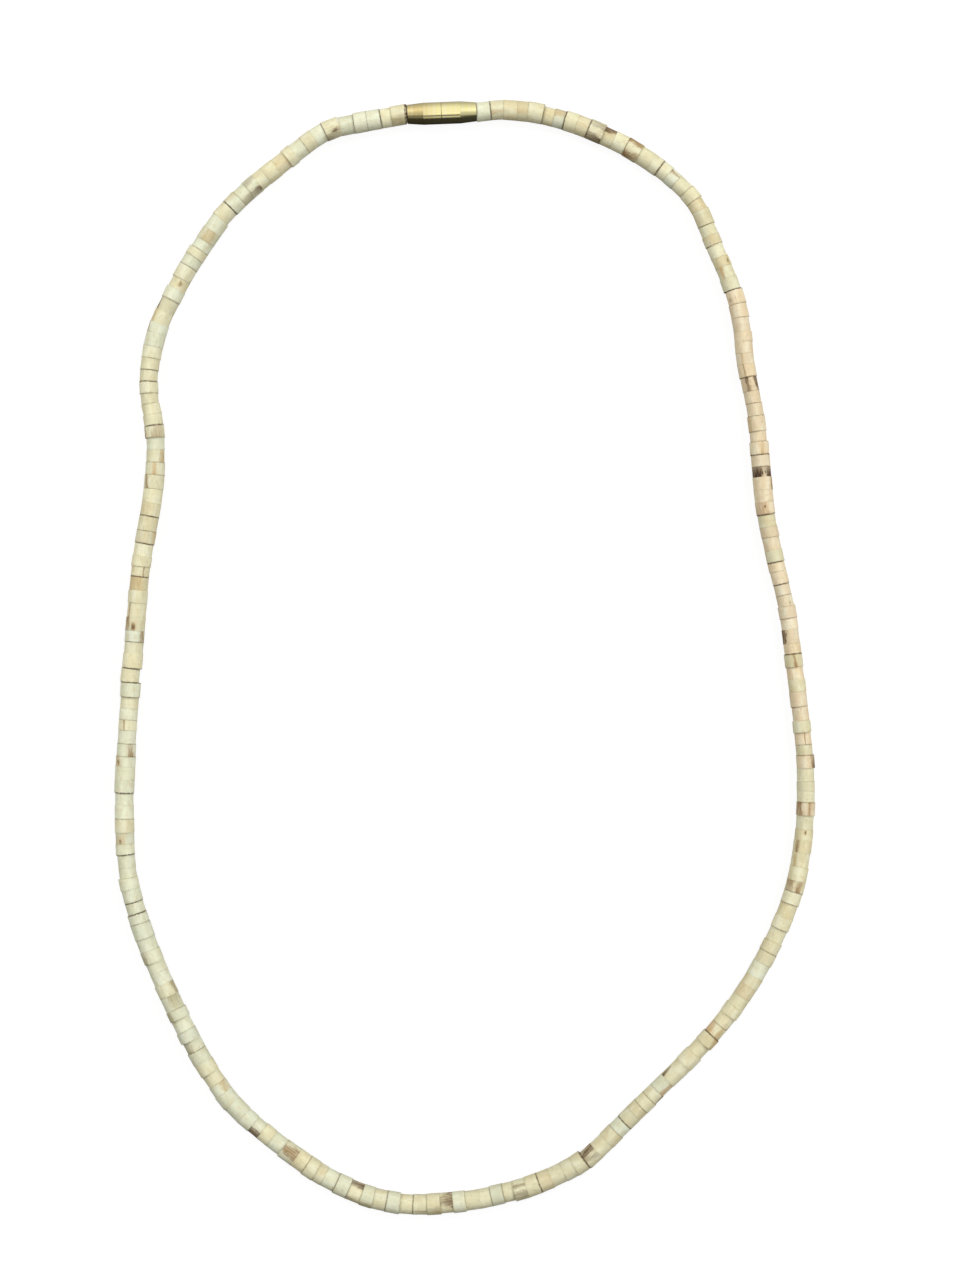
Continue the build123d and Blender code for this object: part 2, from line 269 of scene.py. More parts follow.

# %% [markdown]
# ## Stains, growth layers and knots
# The dark marks are what the eye remembers of this string, so they are charted one by one: where along the
# string, how far to the loop's outside (1) or inside (-1), how wide, and which stain. A mark is a thin
# layer of darker wood cut through by the turning, so it runs along the bead's axis and shows on the
# underside too. The nearest bead takes each mark, up to two layers and one knot.

# %% Chart of the marks
Stain = namedtuple("Stain", ["hue", "strength"])
STAINS = {
    # strength is how much of the wood a mark covers at its middle: over 1, it stays whole further out
    "tan": Stain("#B99A62", 0.60),
    "brown": Stain("#85602F", 0.85),
    "dark": Stain("#543719", 0.94),
    "black": Stain("#3A2210", 1.40),
    "orange": Stain("#BD8B4C", 0.72),
    "grey": Stain("#85785A", 0.68),
    "olive": Stain("#92865A", 0.62),
    "pink": Stain("#A87F58", 0.60),
    "honey": Stain("#CDB787", 0.45),
}
LINE, STREAK, BAND, WIDE, BROAD = 0.09, 0.18, 0.32, 0.55, 0.85   # shares of the bead's radius
KNOT = True
Mark = namedtuple("Mark", ["place", "side", "width", "stain", "knot"], defaults=[False])
MARKS = [Mark(*row) for row in (
    # place, side, width and stain, with KNOT for a knot
    (0.0055, -0.25, STREAK, "tan"), (0.014, 0.3, BAND, "honey"), (0.027, 0.6, WIDE, "tan"),
    (0.0355, 0.1, WIDE, "honey"), (0.0355, 0.92, STREAK, "brown"), (0.045, -0.85, BAND, "dark"),
    (0.045, 0.3, WIDE, "tan"), (0.0495, 0.75, BAND, "dark"), (0.058, 0.75, BAND, "brown"),
    (0.058, -0.92, STREAK, "dark"), (0.075, 0.4, STREAK, "brown"), (0.0887, 0.0, BROAD, "honey"),
    (0.1, 0.0, BROAD, "honey"), (0.1, 0.05, STREAK, "olive"), (0.109, 0.1, BROAD, "honey"),
    (0.109, 0.6, BAND, "brown", KNOT), (0.114, -0.6, STREAK, "orange"),
    (0.1225, -0.75, STREAK, "brown", KNOT), (0.143, -0.5, LINE, "tan"), (0.15, -0.5, LINE, "brown"),
    (0.154, 0.85, STREAK, "dark"), (0.154, -0.15, BAND, "dark"), (0.17, -0.85, BAND, "tan"),
    (0.178, 0.4, STREAK, "tan"), (0.187, -0.6, BROAD, "black"), (0.187, 0.7, WIDE, "black"),
    (0.1905, 0.92, STREAK, "brown"), (0.196, -0.45, WIDE, "pink"), (0.196, -0.1, STREAK, "dark", KNOT),
    (0.23, 0.45, STREAK, "brown", KNOT), (0.2438, -0.9, BAND, "dark"), (0.2528, 0.0, STREAK, "brown"),
    (0.28, 0.0, LINE, "brown"), (0.289, 0.85, BAND, "dark"), (0.3048, 0.35, STREAK, "brown"),
    (0.3048, -0.8, WIDE, "dark"), (0.3125, 0.0, STREAK, "brown", KNOT), (0.318, -0.65, STREAK, "brown"),
    (0.323, -0.6, STREAK, "tan"), (0.3347, 0.25, BAND, "brown"), (0.3347, -0.6, WIDE, "orange"),
    (0.376, 0.1, BROAD, "honey"), (0.376, -0.7, BAND, "orange"), (0.3896, -0.75, BAND, "orange"),
    (0.3896, 0.5, STREAK, "tan"), (0.3947, 0.75, BAND, "tan"), (0.4125, -0.92, STREAK, "dark"),
    (0.418, 0.45, BAND, "orange"), (0.4238, 0.92, STREAK, "dark"), (0.452, -0.7, BAND, "dark"),
    (0.452, -0.1, BAND, "tan"), (0.4717, 0.0, BROAD, "honey"), (0.4805, 0.25, WIDE, "grey"),
    (0.4805, -0.55, STREAK, "brown"), (0.5095, -0.4, WIDE, "dark"), (0.5144, 0.5, WIDE, "olive"),
    (0.519, 0.4, LINE, "olive"), (0.5384, 0.7, BAND, "olive"), (0.5433, -0.85, BAND, "dark"),
    (0.5433, 0.7, STREAK, "honey"), (0.567, -0.3, WIDE, "brown"), (0.581, 0.75, WIDE, "dark"),
    (0.6, -0.6, BAND, "tan"), (0.6187, 0.65, WIDE, "olive"), (0.6326, 0.65, BAND, "olive"),
    (0.6375, -0.4, WIDE, "olive"), (0.642, -0.92, STREAK, "grey"), (0.656, 0.75, WIDE, "grey"),
    (0.696, 0.35, WIDE, "honey"), (0.696, 0.3, BAND, "brown", KNOT), (0.7224, 0.85, BAND, "tan"),
    (0.7224, 0.6, BAND, "orange", KNOT), (0.7273, -0.5, BAND, "brown"), (0.7377, 0.1, LINE, "brown"),
    (0.769, -0.85, STREAK, "brown"), (0.774, 0.75, STREAK, "brown"), (0.774, 0.1, BAND, "brown", KNOT),
    (0.778, 0.6, LINE, "brown"), (0.7864, 0.55, WIDE, "tan"), (0.791, -0.5, LINE, "brown"),
    (0.805, 0.1, BROAD, "honey"), (0.805, -0.88, STREAK, "brown"), (0.8215, 0.6, STREAK, "brown"),
    (0.826, -0.15, STREAK, "orange"), (0.834, -0.8, STREAK, "tan"), (0.84, 0.94, STREAK, "brown"),
    (0.84, -0.3, WIDE, "olive"), (0.88, 0.9, LINE, "dark"), (0.884, 0.7, STREAK, "tan"),
    (0.888, 0.92, STREAK, "dark"), (0.8965, -0.3, BAND, "tan", KNOT), (0.917, 0.0, WIDE, "tan"),
    (0.9313, 0.7, BAND, "honey"), (0.935, -0.88, BAND, "grey"), (0.9395, -0.65, BAND, "dark"),
    (0.9395, 0.55, BAND, "honey"), (0.9517, 0.0, BROAD, "honey"), (0.9517, 0.3, BAND, "tan"),
    (0.9725, -0.8, BAND, "grey"), (0.976, -0.4, BAND, "brown", KNOT), (0.9975, -0.6, BAND, "olive"),
)]
# Seams where the beads don't quite meet, so that a dark line shows: the gap's own shade, with painted shade
# and dirt at the rims
OPEN_SEAMS = [
    0.0037, 0.029, 0.038, 0.0687, 0.119, 0.180, 0.199, 0.2155, 0.2243, 0.2507, 0.392, 0.435, 0.458, 0.474,
    0.671, 0.6764, 0.6898, 0.7113, 0.7525, 0.758, 0.7884, 0.8025, 0.811, 0.8426, 0.8574, 0.9285, 0.9915,
]
# Closed seams with a dark line painted at their rims: partly dirt, partly painted shade in the joint
LINED_SEAMS = [
    0.0205, 0.0555, 0.082, 0.094, 0.1275, 0.151, 0.1595, 0.167, 0.176, 0.185, 0.229, 0.237, 0.268, 0.282,
    0.287, 0.303, 0.336, 0.3405, 0.350, 0.360, 0.387, 0.420, 0.425, 0.430, 0.4405, 0.487, 0.492, 0.522,
    0.531, 0.545, 0.5505, 0.560, 0.6155, 0.6665, 0.7025, 0.725, 0.7302, 0.7395, 0.748, 0.767, 0.8085,
    0.824, 0.829, 0.852, 0.8615, 0.9025, 0.908, 0.933, 0.9625, 0.971, 0.9825, 0.9875,
]


def marks_by_bead():
    """The marks that each bead takes: its layers, at most two, and its knot or none."""
    taken = [([], []) for _ in beads]
    places = np.array([bead.place for bead in beads])
    for mark in MARKS:
        layers, knots = taken[int(np.argmin(np.abs(places - mark.place)))]
        (knots if mark.knot else layers).append(mark)
    return [(layers[:2], knots[:1]) for layers, knots in taken]


bead_marks = marks_by_bead()
print("beads with a mark", sum(1 for layers, knots in bead_marks if layers or knots))

# %% [markdown]
# ## The shape of one bead
# A bead could be a plain cylinder, but the real ones show crisp rims that are a little broken, ends that
# aren't quite square to the axis, walls a touch out of round, and here and there a chip at the rim. So each
# bead is turned from an outline, and then its points are nudged by those few rules. The solids keep a gap
# from bead to bead, but on the string the beads press together. So both faces of a seam are brought up to
# one plane halfway across the gap, and where a seam stands open their rims fall away from it further.

# %% Outline and seams
AROUND = 44
RIM_STEPS = 4
WALL_STEPS = 6
BORE_R = 0.63 * MM
FACE_STEPS = 3
SEAM_CLEAR = 0.006 * MM      # between the faces of one seam
SEAM_LEAN = 0.07             # the most that a face leans to meet its neighbour's, as a slope
SEAM_TILT = 0.016
# how dark the rims of closed, lined and open seams are painted: partly dirt, partly painted shade in the
# joint
CLEAN_SHADE_DIRT, LINED_SHADE_DIRT, OPEN_SHADE_DIRT = (0.0, 0.18), (0.34, 0.66), 0.85
CLOSED_RIM = (0.020 * MM, 0.032 * MM)   # how far a rim falls away, along the axis and towards it
LINED_RIM = (0.035 * MM, 0.055 * MM)
OPEN_RIM = (0.075 * MM, 0.120 * MM)
CLASP_RIM = (0.280 * MM, 0.340 * MM)
WALL_INSET = 0.025 * MM      # walls lie this far inside the solids, so that leaning ends don't pass them
CLASP_CLEAR = 0.03 * MM
CLASP_LEAN = 0.20            # the clasp doesn't yield, so the bead beside it leans as far as it has to
CLASP_SHADE_DIRT = (0.3, 1.0)     # at the screw half and at the socket half: partly dirt, partly painted shade in the slit beside the clasp
OUT_OF_ROUND = 0.010
WAIST = 0.010
CHIP_SHARE = 0.14
CHIP_WIDTH = 0.22 * MM
CHIP_REACH = 0.16 * MM
CHIP_DEPTHS = (0.05 * MM, 0.12 * MM)
CHIP_EDGE = 8                # the higher, the closer a chip keeps to the rim of the wall
Seam = namedtuple("Seam", ["point", "normal", "rim", "soil", "lean"], defaults=[SEAM_LEAN])


def end_of(bead, sign):
    """The middle of a bead's end face."""
    return bead.middle + bead.along * sign * bead.length / 2


def charted_seams(chart):
    """The numbers of the seams that a chart names, each the nearest one to its place."""
    places = np.array([(before.place + after.place) / 2 for before, after in zip(beads, beads[1:])])
    return {int(np.argmin(np.abs(places - place))) for place in chart}


def seam_between(number, before, after):
    """The plane where two beads meet, how their rims fall away there, and how dark its rims are painted:
    partly dirt, partly painted shade in the joint.
    """
    along = before.along + after.along
    across = np.cross(UP, along)
    normal = along + across * dice.gauss(0, SEAM_TILT) + 2 * UP * dice.gauss(0, SEAM_TILT)
    rim, soil = CLOSED_RIM, dice.uniform(*CLEAN_SHADE_DIRT)
    if number in open_seams:
        rim, soil = OPEN_RIM, OPEN_SHADE_DIRT
    elif number in lined_seams:
        rim, soil = LINED_RIM, dice.uniform(*LINED_SHADE_DIRT)
    return Seam((end_of(before, 1) + end_of(after, -1)) / 2, normal, rim, soil)


def seam_at_clasp(clasp_end, sign, rim, soil):
    """The plane of the clasp's end face, where the first or the last bead comes up to it."""
    return Seam(clasp_end + to_screw * sign * CLASP_CLEAR, to_screw, rim, soil, CLASP_LEAN)


def bead_outline(bead, before, after):
    """Points (along, from the axis) round the outside of a bead, from one bore mouth to the other."""
    half, radius = bead.length / 2, bead.radius - WALL_INSET

    def end(rim):
        """One end, from the bore mouth out to the wall, as it would be at the positive end."""
        long, deep = rim
        wide = radius - deep - BORE_R
        face = [(half, BORE_R + wide * step / (FACE_STEPS - 1)) for step in range(FACE_STEPS)]
        turns = [pi / 2 * step / RIM_STEPS for step in range(1, RIM_STEPS + 1)]
        return face + [(half - long * (1 - cos(turn)), radius - deep * (1 - sin(turn))) for turn in turns]

    start, stop = [(-x, r) for x, r in end(before.rim)], end(after.rim)[::-1]
    wall = [(start[-1][0] + (stop[0][0] - start[-1][0]) * step / WALL_STEPS, radius)
            for step in range(1, WALL_STEPS)]
    return start + wall + stop


def face_shift(bead, sign, seam, y, z):
    """How far a bead's end moves along its axis, at each point, to meet the plane of its seam."""
    outside = np.cross(UP, bead.along)
    away = seam.point - bead.middle
    forward = seam.normal @ bead.along
    lean = np.clip(seam.normal @ outside / forward, -seam.lean, seam.lean)
    rise = np.clip(seam.normal[2] / forward, -seam.lean, seam.lean)
    plane = away @ bead.along - (y - away @ outside) * lean - (z - away[2]) * rise
    return plane - sign * (bead.length + SEAM_CLEAR) / 2


def bead_points(bead, before, after):
    """A bead's vertices in its own frame (along, outside, up): rings of the outline, by points around."""
    half = bead.length / 2
    outline = np.array(bead_outline(bead, before, after))
    turn = np.arange(AROUND) * 2 * pi / AROUND
    x = np.repeat(outline[:, :1], AROUND, axis=1)
    r = np.repeat(outline[:, 1:], AROUND, axis=1)
    outwards = (r - BORE_R) / (bead.radius - BORE_R)
    lobes = 0.5 + 0.5 * np.cos(2 * turn + dice.uniform(0, 2 * pi))
    waist = dice.uniform(0.0, WAIST) * (1 - (x / half) ** 2)
    r = r * (1 - outwards * (OUT_OF_ROUND * dice.random() * lobes + waist))
    if dice.random() < CHIP_SHARE:
        chip_turn, chip_end = dice.uniform(0, 2 * pi), dice.choice((-1, 1))
        away = np.abs((turn - chip_turn + pi) % (2 * pi) - pi) * bead.radius
        near = np.exp(-(away / CHIP_WIDTH) ** 2) * np.exp(-((half - x * chip_end) / CHIP_REACH) ** 2)
        depth = dice.uniform(*CHIP_DEPTHS) * near * outwards ** CHIP_EDGE
        r, x = r - depth, x - depth * chip_end / 2
    y, z = r * np.cos(turn), r * np.sin(turn)
    share = np.clip(x / half, -1, 1)
    ends = np.where(share > 0, face_shift(bead, 1, after, y, z), face_shift(bead, -1, before, y, z))
    return np.stack([x + np.abs(share) * ends, y, z], axis=-1), outline


to_screw = screw_half.along * np.sign(screw_half.along[0])
clasp_ends = [half.middle + to_screw * sign * half.length / 2
              for half, sign in ((screw_half, 1), (socket_half, -1))]
open_seams, lined_seams = charted_seams(OPEN_SEAMS), charted_seams(LINED_SEAMS)
seams = [
    seam_at_clasp(clasp_ends[0], 1, CLOSED_RIM, CLASP_SHADE_DIRT[0]),
    *[seam_between(number, *pair) for number, pair in enumerate(zip(beads, beads[1:]))],
    seam_at_clasp(clasp_ends[1], -1, CLASP_RIM, CLASP_SHADE_DIRT[1]),
]
print("open seams", len(open_seams), "lined seams", len(lined_seams), "of", len(seams))

# %% [markdown]
# ## An unwrapped plan for each bead
# So that the finished looks can be baked, every spot of a bead's surface needs a place of its own on a flat
# plan. A bead unrolls into a strip for its wall and rims, a ring for each end, and a small strip for its
# bore. These lie together in one tile, and a piece's tiles stand in a grid.

# %% Plan of a bead
TILE_WIDE, TILE_HIGH = 13.4 * MM, 7.0 * MM
TILE_EDGE = 0.15 * MM
STRIP_HIGH = 2.9 * MM
DISC = 4.0 * MM


def bead_plan(points, outline):
    """For each face of a bead, the plan places of its four corners, in metres on the bead's tile."""
    rings = len(outline)
    first_wall, last_wall = FACE_STEPS - 1, rings - FACE_STEPS
    steps = np.hypot(*np.diff(outline, axis=0).T)
    walked = np.concatenate([[0], np.cumsum(steps)])
    radius = outline[:, 1].max()
    around = np.arange(AROUND + 1) * 2 * pi / AROUND
    plan = np.zeros((rings, AROUND, 4, 2))
    for ring in range(rings):
        after = (ring + 1) % rings
        for corner, (at_ring, step) in enumerate([(ring, 0), (ring, 1), (after, 1), (after, 0)]):
            turn = around[step:AROUND + step]
            r = outline[at_ring, 1]
            if first_wall <= ring < last_wall:
                u = turn * radius
                v = walked[at_ring] - walked[first_wall] + 0 * turn
            elif ring == rings - 1:
                u = 2 * DISC + turn * BORE_R
                v = STRIP_HIGH + (outline[at_ring, 0] - outline[0, 0]) + 0 * turn
            else:
                middle = DISC / 2 if ring < first_wall else DISC * 3 / 2
                u = middle + r * np.cos(turn)
                v = STRIP_HIGH + DISC / 2 + r * np.sin(turn)
            plan[ring, :, corner, 0], plan[ring, :, corner, 1] = u, v
    return plan + TILE_EDGE


def ring_faces(rings, around):
    """Corner numbers of a turned piece's faces, ring by ring and then around."""
    ring, step = np.meshgrid(np.arange(rings), np.arange(around), indexing="ij")
    after, beside = (ring + 1) % rings, (step + 1) % around
    corners = [ring * around + step, ring * around + beside, after * around + beside, after * around + step]
    return np.stack(corners, axis=-1).reshape(-1, 4)


# %% [markdown]
# ## What the shader is told about each spot
# The pattern of the wood has to run along each bead's own axis, wherever the bead lies on the loop. So each
# vertex carries where it is in its own bead: `grain` in millimetres along and across, shifted by a random
# step so that no two beads show the same wood; `layers`, how far it is from the middle of the bead's two
# dark layers and its knot, counted in their half widths; `strengths`, how strong each of them is there,
# because a layer fades towards one end; and `ends`, how far it is from the nearer rim and how dark the rim
# is painted there: partly dirt, partly painted shade in the seam.
# Two colours go with them: the bead's own wood and its marks.

# %% Values for the shader
LAYER_TURN = radians(18)
LAYER_SLOPE = 0.06
LAYER_WEDGE = 0.30
TONE_SPREAD = 0.038
LAYER_FADE = 0.55
WARM_SPREAD = 0.009
LAYER_PIVOT = 0.5     # layers turn about a line this far up, as a share of the radius
KNOT_STRAY = 0.3      # how far a knot may lie from the middle, as a share of the bead's length
KNOT_SHAPE = np.array([1.5, 1.0, 1.2])   # its radii along, across and up, in widths
GRAIN_SHIFT = 90      # millimetres
BRIGHTEST = 0.95
NONE = 9.0            # the distance from a mark that isn't there
KNOT_SLOT = 2         # after the two layers


def layer_distance(points, bead, mark):
    """How far each point is from the middle of a dark layer, in half widths of it."""
    turn = dice.gauss(0, LAYER_TURN)
    slope = dice.gauss(0, LAYER_SLOPE)
    wedge = 1 + dice.uniform(-LAYER_WEDGE, LAYER_WEDGE) * points[..., 0] / (bead.length / 2)
    depth = mark.side * bead.radius
    across = (points[..., 1] - depth) * cos(turn) + (points[..., 2] - bead.radius * LAYER_PIVOT) * sin(turn)
    return (across + points[..., 0] * slope) / (mark.width * bead.radius * wedge)


def knot_distance(points, bead, mark):
    """How far each point is from the middle of a knot on the upper side, in radii of it."""
    side = mark.side * bead.radius
    top = (bead.radius ** 2 - side ** 2) ** 0.5
    middle = np.array([dice.uniform(-KNOT_STRAY, KNOT_STRAY) * bead.length, side, top])
    size = mark.width * bead.radius * KNOT_SHAPE
    return np.linalg.norm((points - middle) / size, axis=-1)


def bead_values(points, outline, bead, kind, marks, before, after):
    """The vertex values of one bead, by name. Its two seams say how dark its ends are painted: partly dirt,
    partly painted shade in the seams.
    """
    layers, knots = marks
    count = points.shape[0] * points.shape[1]
    flat = points.reshape(-1, 3)
    shift = np.array([dice.uniform(0, GRAIN_SHIFT) for _ in range(3)])
    distances = np.full((count, KNOT_SLOT + 1), NONE)
    strengths = np.zeros((count, KNOT_SLOT + 1))
    for slot, mark in enumerate(layers):
        distances[:, slot] = layer_distance(flat, bead, mark)
        towards = 0.5 + dice.choice((-1, 1)) * flat[:, 0] / bead.length
        strengths[:, slot] = STAINS[mark.stain].strength * (1 - dice.uniform(0, LAYER_FADE) * towards)
    for mark in knots:
        distances[:, KNOT_SLOT] = knot_distance(flat, bead, mark)
        strengths[:, KNOT_SLOT] = STAINS[mark.stain].strength
    tone = mixture_at(bead.place).tone * (1 + dice.gauss(0, TONE_SPREAD))
    own = np.array(linear(KINDS[kind].hue)) * tone
    warmth = dice.gauss(0, WARM_SPREAD)
    own = np.clip(own * np.array([1 + warmth, 1, 1 - 2 * warmth]), 0, BRIGHTEST)
    marked = (layers + knots or [None])[0]
    mark_tone = linear(STAINS[marked.stain if marked else "tan"].hue)
    soil = np.where(flat[:, 0] > 0, after.soil, before.soil)
    rim = np.where(flat[:, 0] > 0, after.rim[0], before.rim[0])
    from_rim = (bead.length / 2 - np.repeat(np.abs(outline[:, 0]), AROUND) - rim) / MM
    return {
        "ends": np.stack([from_rim, soil, 0 * soil], axis=-1),
        "grain": flat / MM + shift,
        "layers": distances,
        "strengths": strengths,
        "wood": np.repeat(np.append(own, 1.0)[None], count, axis=0),
        "stain": np.repeat(np.append(mark_tone, 1.0)[None], count, axis=0),
    }


VALUE_KINDS = {"ends": "FLOAT_VECTOR", "grain": "FLOAT_VECTOR", "layers": "FLOAT_VECTOR",
               "strengths": "FLOAT_VECTOR", "wood": "FLOAT_COLOR", "stain": "FLOAT_COLOR"}

# %% [markdown]
# ## Turned tulsi wood as a material
# Tulsi is a close, pale wood. Turned on a small lathe and left bare, it is matt to faintly silky: fibres
# show as fine lines along the axis, the tool leaves finer rings around it, and the open pores hold a
# little dirt. Bare wood scatters light like most dry organic matter, so its IOR is about 1.5 and its
# roughness high. Fibre and tool marks are drawn from noise stretched along or around the bead's own axis.

# %% Patterns and hues in the wood
Pattern = namedtuple("Pattern", ["along_mm", "across_mm", "detail", "roughness"], defaults=[2.0, 0.5])
FIBRE = Pattern(2.24, 0.16, 3.0, 0.6)   # real fibres are 0.05 mm apart: drawn three times as coarse, to show
RINGS = Pattern(0.24, 7.2, 1.0)         # the tool's real rings are 0.1 mm apart: drawn twice as coarse
PORES = Pattern(0.78, 0.13, 1.0)
CLOUD = Pattern(3.52, 1.6)              # slow change of tone from old to young wood
WARM = Pattern(1.35, 0.9, 3.0)          # patches where the wood has yellowed under fingers
WOBBLE = Pattern(1.1, 0.42, 3.0, 0.6)   # how often a dark layer's edge wavers
SHADE_DIRT_MM = 0.12                          # how far the painted darkening reaches from a bead's rim on to its wall: partly dirt, partly painted shade
PALE_HUE, WARM_HUE, HALO_HUE = "#E6E7D0", "#D1BF91", "#C4A979"
# the knot's dark heart, the dirt in pores, and the dark brown painted at the rims: partly dirt, partly
# painted shade in the seams
HEART_HUE, PORE_HUE, SHADE_DIRT_HUE = "#4A2E14", "#7C6444", "#5A4228"
HALO_SHARE, HEART_SHARE, PORE_SHARE = 0.32, 0.80, 0.35
SMOOTHEST, ROUGHEST = 0.50, 0.66
RELIEF, RELIEF_STRENGTH, RING_HEIGHT = 0.03 * MM, 0.35, 0.6   # of the fibres, and of the rings beside them


def stretched_noise(tree, place, pattern):
    """Noise with cells of the pattern's sizes along and across the axis. Its value is near 0.5."""
    scale = (1 / pattern.along_mm, 1 / pattern.across_mm, 1 / pattern.across_mm)
    sized = add_node(tree, "VectorMath", {0: place, 1: scale}, operation="MULTIPLY")
    noise = {"Vector": sized, "Scale": 1.0, "Detail": pattern.detail, "Roughness": pattern.roughness}
    return add_node(tree, "TexNoise", noise)


def tinted(tree, colour, hue, pattern, none_at, most_at, most, curve="SMOOTHSTEP"):
    """The colour, giving way to a hue as a pattern's value goes from one limit to the other."""
    share = add_node(tree, "MapRange", {"Value": pattern, 1: none_at, 2: most_at, 4: most},
                     interpolation_type=curve)
    return add_node(tree, "Mix", {0: share, 6: colour, 7: hue}, **COLOURS)


# %% Marks in the wood
# how far a mark reaches at full strength and where it ends, in its half widths
MARK_REACH = {"halo": (0.80, 2.00), "mark": (0.35, 1.20), "heart": (0.15, 0.75)}
WAVER = 2.2


def mark_shares(tree, told, wobble):
    """How much of a halo, of a mark and of a knot's dark heart shows at each spot."""
    near = add_node(tree, "SeparateXYZ", {0: told["layers"]["Vector"]})
    strong = add_node(tree, "SeparateXYZ", {0: told["strengths"]["Vector"]})
    waver = add_node(tree, "Math", {0: wobble, 1: WAVER, 2: -WAVER / 2}, operation="MULTIPLY_ADD")
    shares = {name: 0.0 for name in MARK_REACH}
    for slot in range(KNOT_SLOT + 1):
        away = add_node(tree, "Math", {0: near.outputs[slot], 1: waver}, operation="ADD")
        if slot != KNOT_SLOT:
            away = add_node(tree, "Math", {0: away}, operation="ABSOLUTE")
        for name, (full, end) in MARK_REACH.items():
            if name == "heart" and slot != KNOT_SLOT:
                continue
            limits = {"Value": away, 1: full, 2: end, 3: strong.outputs[slot], 4: 0.0}
            share = add_node(tree, "MapRange", limits, **SMOOTH)
            shares[name] = add_node(tree, "Math", {0: shares[name], 1: share}, operation="MAXIMUM")
    return shares


# %% Wood material
def turned_tulsi(tree, kind):
    """Bare turned tulsi wood of one kind."""
    told = {name: add_node(tree, "Attribute", attribute_name=name).outputs for name in VALUE_KINDS}
    fibre, rings, pores, cloud, warm, wobble = [
        stretched_noise(tree, told["grain"]["Vector"], pattern)
        for pattern in (FIBRE, RINGS, PORES, CLOUD, WARM, WOBBLE)]

    colour = told["wood"]["Color"]
    fibre_hue = KINDS[kind].fibre_hue
    for hue, pattern, none_at, most_at, most in (
            (fibre_hue, cloud, 0.42, 0.66, 0.34),
            (PALE_HUE, cloud, 0.50, 0.34, 0.36),
            (WARM_HUE, warm, 0.50, 0.68, 0.32),
            (fibre_hue, fibre, 0.48, 0.70, 0.36),
            (fibre_hue, rings, 0.50, 0.72, KINDS[kind].rings)):
        colour = tinted(tree, colour, hue, pattern, none_at, most_at, most)

    shares = mark_shares(tree, told, wobble)
    colour = tinted(tree, colour, HALO_HUE, shares["halo"], 0.0, 1.0, HALO_SHARE, "LINEAR")
    streaks = add_node(tree, "MapRange", {"Value": fibre, 1: 0.34, 2: 0.58, 3: 0.55}, **SMOOTH)
    marked = add_node(tree, "Math", {0: shares["mark"], 1: streaks}, operation="MULTIPLY")
    colour = add_node(tree, "Mix", {0: marked, 6: colour, 7: told["stain"]["Color"]}, **COLOURS)
    colour = tinted(tree, colour, HEART_HUE, shares["heart"], 0.0, 1.0, HEART_SHARE, "LINEAR")

    holes = add_node(tree, "MapRange", {"Value": pores, 1: 0.66, 2: 0.74, 4: PORE_SHARE}, **SMOOTH)
    colour = add_node(tree, "Mix", {0: holes, 6: colour, 7: PORE_HUE}, **COLOURS)
    # Towards the rims the wood turns a dark brown in patches: partly dirt, partly painted shade in the seams
    # between beads and beside the clasp.
    from_rim, soil, _ = add_node(tree, "SeparateXYZ", {0: told["ends"]["Vector"]}).outputs
    shade_dirt_at_rim = add_node(tree, "MapRange", {"Value": from_rim, 1: -0.02, 2: SHADE_DIRT_MM, 3: soil, 4: 0.0}, **SMOOTH)
    patchy = add_node(tree, "MapRange", {"Value": wobble, 1: 0.36, 2: 0.56, 3: 0.35}, **SMOOTH)
    shade_and_dirt_share = add_node(tree, "Math", {0: shade_dirt_at_rim, 1: patchy}, operation="MULTIPLY")
    colour = add_node(tree, "Mix", {0: shade_and_dirt_share, 6: colour, 7: SHADE_DIRT_HUE}, **COLOURS)

    rough = add_node(tree, "MapRange", {"Value": fibre, 1: 0.35, 2: 0.65, 3: SMOOTHEST, 4: ROUGHEST})
    height = add_node(tree, "Math", {0: rings, 1: RING_HEIGHT, 2: fibre}, operation="MULTIPLY_ADD")
    height = add_node(tree, "Math", {0: height, 1: holes}, operation="SUBTRACT")
    bump = add_node(tree, "Bump", {"Height": height, "Strength": RELIEF_STRENGTH, "Distance": RELIEF})
    return {"Base Color": colour, "Roughness": rough, "Normal": bump, "IOR": 1.5}


wood_materials = {kind: new_material("tulsi_" + kind + "_turned_bare", turned_tulsi, kind)
                  for kind in KINDS}
print("wood materials", [material.name for material in wood_materials.values()])

# %% [markdown]
# ## The beads, joined by kind of wood
# All beads of one kind are one mesh. That keeps the file light, and each bead stays a loose part of it.
# Turned work is smooth, with edges where two cuts meet, so a mesh is shaded smooth but for those edges.
# The polished clasp would mirror the beads across the loop as a line far thinner than a pixel, which only
# sparkles, so shiny surfaces don't see the beads.

# %% Finished meshes
BEAD_SHARP, BRASS_SHARP = 40, 30    # degrees: edges that turn more are sharp


def put_in_scene(name, data):
    """A new object in the scene, from its mesh, light or camera."""
    thing = bpy.data.objects.new(name, data)
    bpy.context.scene.collection.objects.link(thing)
    return thing


def tell_vertices(mesh, name, kind, values):
    """Gives each vertex a value of this name, for the shader to read."""
    field = {"FLOAT": "value", "FLOAT_VECTOR": "vector", "FLOAT_COLOR": "color"}[kind]
    told = mesh.attributes.new(name, kind, "POINT")
    told.data.foreach_set(field, values.astype(np.float32).ravel())


def finished_piece(mesh, material, sharp_from):
    """The mesh as a piece of the scene, smooth but for its sharp edges."""
    mesh.shade_smooth()
    mesh.set_sharp_from_angle(angle=radians(sharp_from))
    mesh.materials.append(material)
    piece = put_in_scene(mesh.name, mesh)
    print(piece.name, 2 * len(mesh.polygons), "triangles")
    return piece


